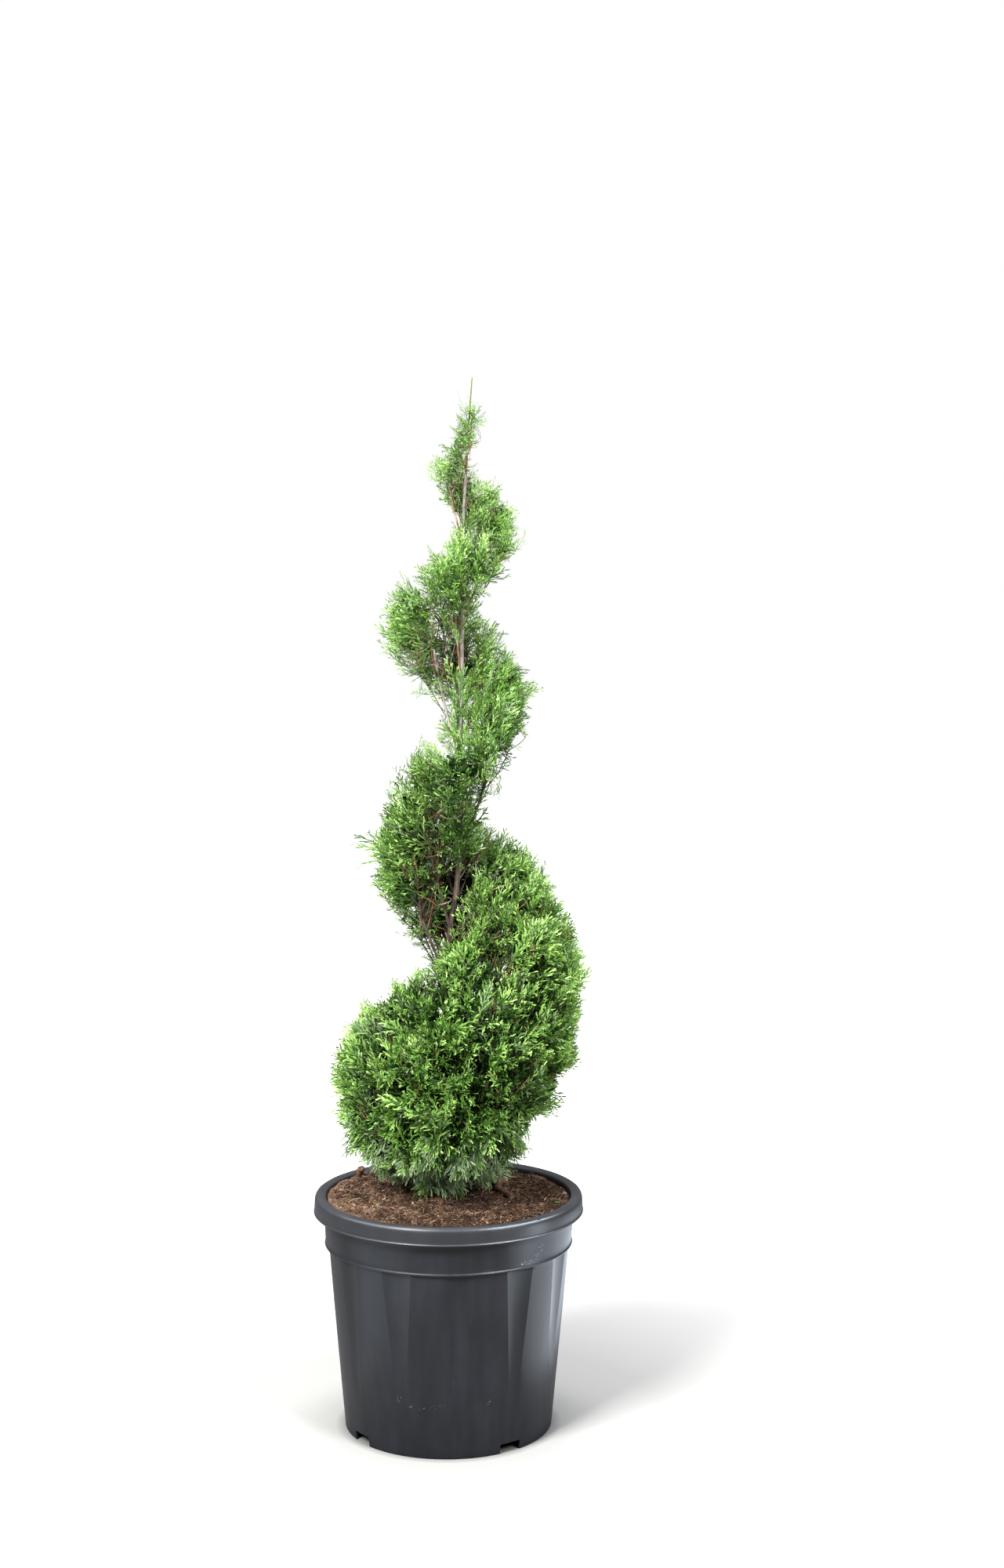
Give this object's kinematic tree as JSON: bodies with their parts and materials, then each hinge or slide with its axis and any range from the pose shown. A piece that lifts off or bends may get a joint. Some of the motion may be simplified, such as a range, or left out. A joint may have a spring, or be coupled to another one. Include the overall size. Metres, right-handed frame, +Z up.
{
  "type": "spiral topiary in a nursery pot",
  "caption": "Evergreen conifer clipped to a rising right-handed spiral round its bare stem, above a ball of dense foliage, in a round black nursery pot filled with compost.",
  "frame": {"origin": "centre of the pot's base, in the plane that the pot stands on", "axes": "+Z up along the stem, -Y towards the front, +X to the right seen from the front"},
  "size_m": [0.358, 0.358, 1.388],
  "materials": {
    "pot_plastic": "satin blue-black moulded polypropylene with light scuffs",
    "compost": "coarse fibrous peat compost",
    "bark": "thin fibrous grey-brown bark, orange-brown on young wood",
    "foliage": "fresh green scale-leaved sprays"
  },
  "bodies": {
    "root": {"pot": "pot_plastic", "soil": "compost", "trunk": "bark", "bough_back_1": "bark", "bough_left_1": "bark", "bough_right_1": "bark", "bough_front_1": "bark", "bough_right_2": "bark", "bough_back_2": "bark", "bough_left_2": "bark", "bough_front_2": "bark", "bough_right_3": "bark", "bough_back_3": "bark", "bough_left_3": "bark", "foliage_back_1": "foliage", "foliage_left_1": "foliage", "foliage_front_1": "foliage", "foliage_right_1": "foliage", "foliage_back_2": "foliage", "foliage_left_2": "foliage", "foliage_front_2": "foliage", "foliage_right_2": "foliage", "foliage_back_3": "foliage", "foliage_left_3": "foliage", "foliage_front_3": "foliage", "foliage_right_3": "foliage", "foliage_back_4": "foliage", "foliage_left_4": "foliage", "foliage_top": "foliage"}
  },
  "joints": []
}
